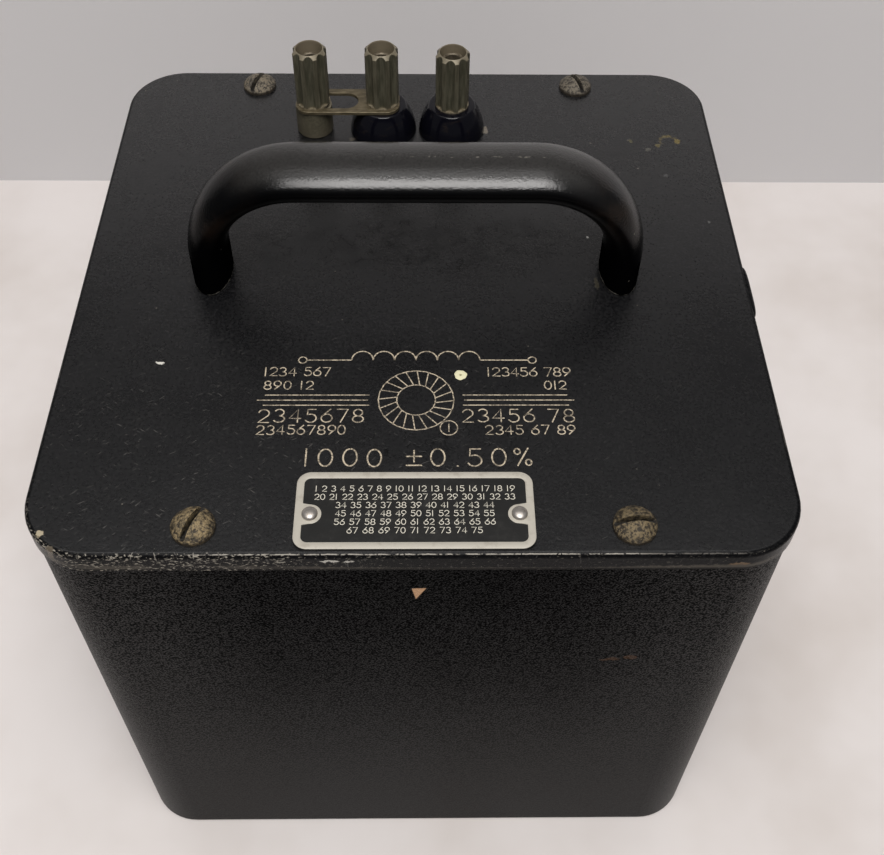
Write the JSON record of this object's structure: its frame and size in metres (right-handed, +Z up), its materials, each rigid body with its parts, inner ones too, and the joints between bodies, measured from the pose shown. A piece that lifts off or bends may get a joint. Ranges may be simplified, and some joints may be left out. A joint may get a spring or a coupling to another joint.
{
  "type": "standard inductor",
  "caption": "Laboratory standard inductor: square black case with rounded corners, carrying handle on the lid, fluted jack-top binding posts and a swinging ground link.",
  "frame": {"origin": "middle of the flat base, on the surface that the case stands on", "axes": "+Z up, +X to the right seen from the nameplate side, +Y to the row of binding posts at the back"},
  "size_m": [0.165, 0.165, 0.1924],
  "materials": {
    "case_crackle": "fine black crackle enamel on cast aluminium",
    "lid_enamel": "satin black enamel on aluminium, worn along the edges",
    "handle_enamel": "smooth satin black enamel on cast aluminium",
    "plate_black": "black plate with a bright border",
    "bright_pin": "bright round heads",
    "corroded_screw": "speckled corroded plating",
    "plain_steel": "plain plated steel",
    "nut_tarnished": "dark tarnished plating with worn rims",
    "base_tarnished": "dull olive tarnish",
    "stud_brass": "dull brass thread",
    "link_brass": "worn tan brass",
    "phenolic": "glossy black moulding",
    "tinned_lug": "tinned",
    "copper": "enamelled copper wire",
    "ceramic": "matt unglazed ceramic",
    "cork": "ground cork",
    "can_fibre": "brown resin-bonded fibre",
    "potting": "cast compound"
  },
  "bodies": {
    "body": {"case": "case_crackle", "potting_compound": "potting", "inner_can": "can_fibre", "can_cover": "can_fibre", "cork_bed_lower": "cork", "cork_bed_upper": "cork", "toroid_core": "ceramic", "toroid_winding": "copper", "low_lead": "copper", "high_lead": "copper", "top_panel": "lid_enamel", "lid_screws": "corroded_screw", "handle": "handle_enamel", "handle_screws": "plain_steel", "nameplate": "plate_black", "nameplate_pins": "bright_pin", "ground_post_stud": "stud_brass", "low_post_stud": "stud_brass", "high_post_stud": "stud_brass", "ground_post_base": "base_tarnished", "low_upper_insulator": "phenolic", "high_upper_insulator": "phenolic", "low_lower_insulator": "phenolic", "high_lower_insulator": "phenolic", "solder_lugs": "tinned_lug", "lock_washers": "plain_steel", "post_hex_nuts": "plain_steel"},
    "link": {"ground_link": "link_brass"},
    "ground_washer": {"ground_clamp_washer": "link_brass"},
    "low_washer": {"low_clamp_washer": "link_brass"},
    "high_washer": {"high_clamp_washer": "link_brass"},
    "ground_nut": {"ground_thumb_nut": "nut_tarnished"},
    "low_nut": {"low_thumb_nut": "nut_tarnished"},
    "high_nut": {"high_thumb_nut": "nut_tarnished"}
  },
  "joints": [
    {"name": "link_swing", "type": "hinge", "parent": "body", "child": "link", "pos_m": [-0.02857, 0.0563, 0.1649], "axis": [0, 0, -1], "range_deg": [0, 100]},
    {"name": "ground_nut_lift", "type": "slide", "parent": "body", "child": "ground_washer", "axis": [0, 0, 1], "range_m": [0, 0.0045]},
    {"name": "low_nut_lift", "type": "slide", "parent": "body", "child": "low_washer", "axis": [0, 0, 1], "range_m": [0, 0.0045]},
    {"name": "high_nut_lift", "type": "slide", "parent": "body", "child": "high_washer", "axis": [0, 0, 1], "range_m": [0, 0.0045]},
    {"name": "ground_nut_turn", "type": "hinge", "parent": "ground_washer", "child": "ground_nut", "pos_m": [-0.02857, 0.0563, 0.174], "axis": [0, 0, 1], "range_deg": [0, 1800]},
    {"name": "low_nut_turn", "type": "hinge", "parent": "low_washer", "child": "low_nut", "pos_m": [-0.00953, 0.0563, 0.174], "axis": [0, 0, 1], "range_deg": [0, 1800]},
    {"name": "high_nut_turn", "type": "hinge", "parent": "high_washer", "child": "high_nut", "pos_m": [0.00953, 0.0563, 0.173], "axis": [0, 0, 1], "range_deg": [0, 1800]}
  ],
  "couplings": [
    {"joint": "ground_nut_turn", "follows": "ground_nut_lift", "rad_per_m": 6926.3},
    {"joint": "low_nut_turn", "follows": "low_nut_lift", "rad_per_m": 6926.3},
    {"joint": "high_nut_turn", "follows": "high_nut_lift", "rad_per_m": 6926.3}
  ]
}
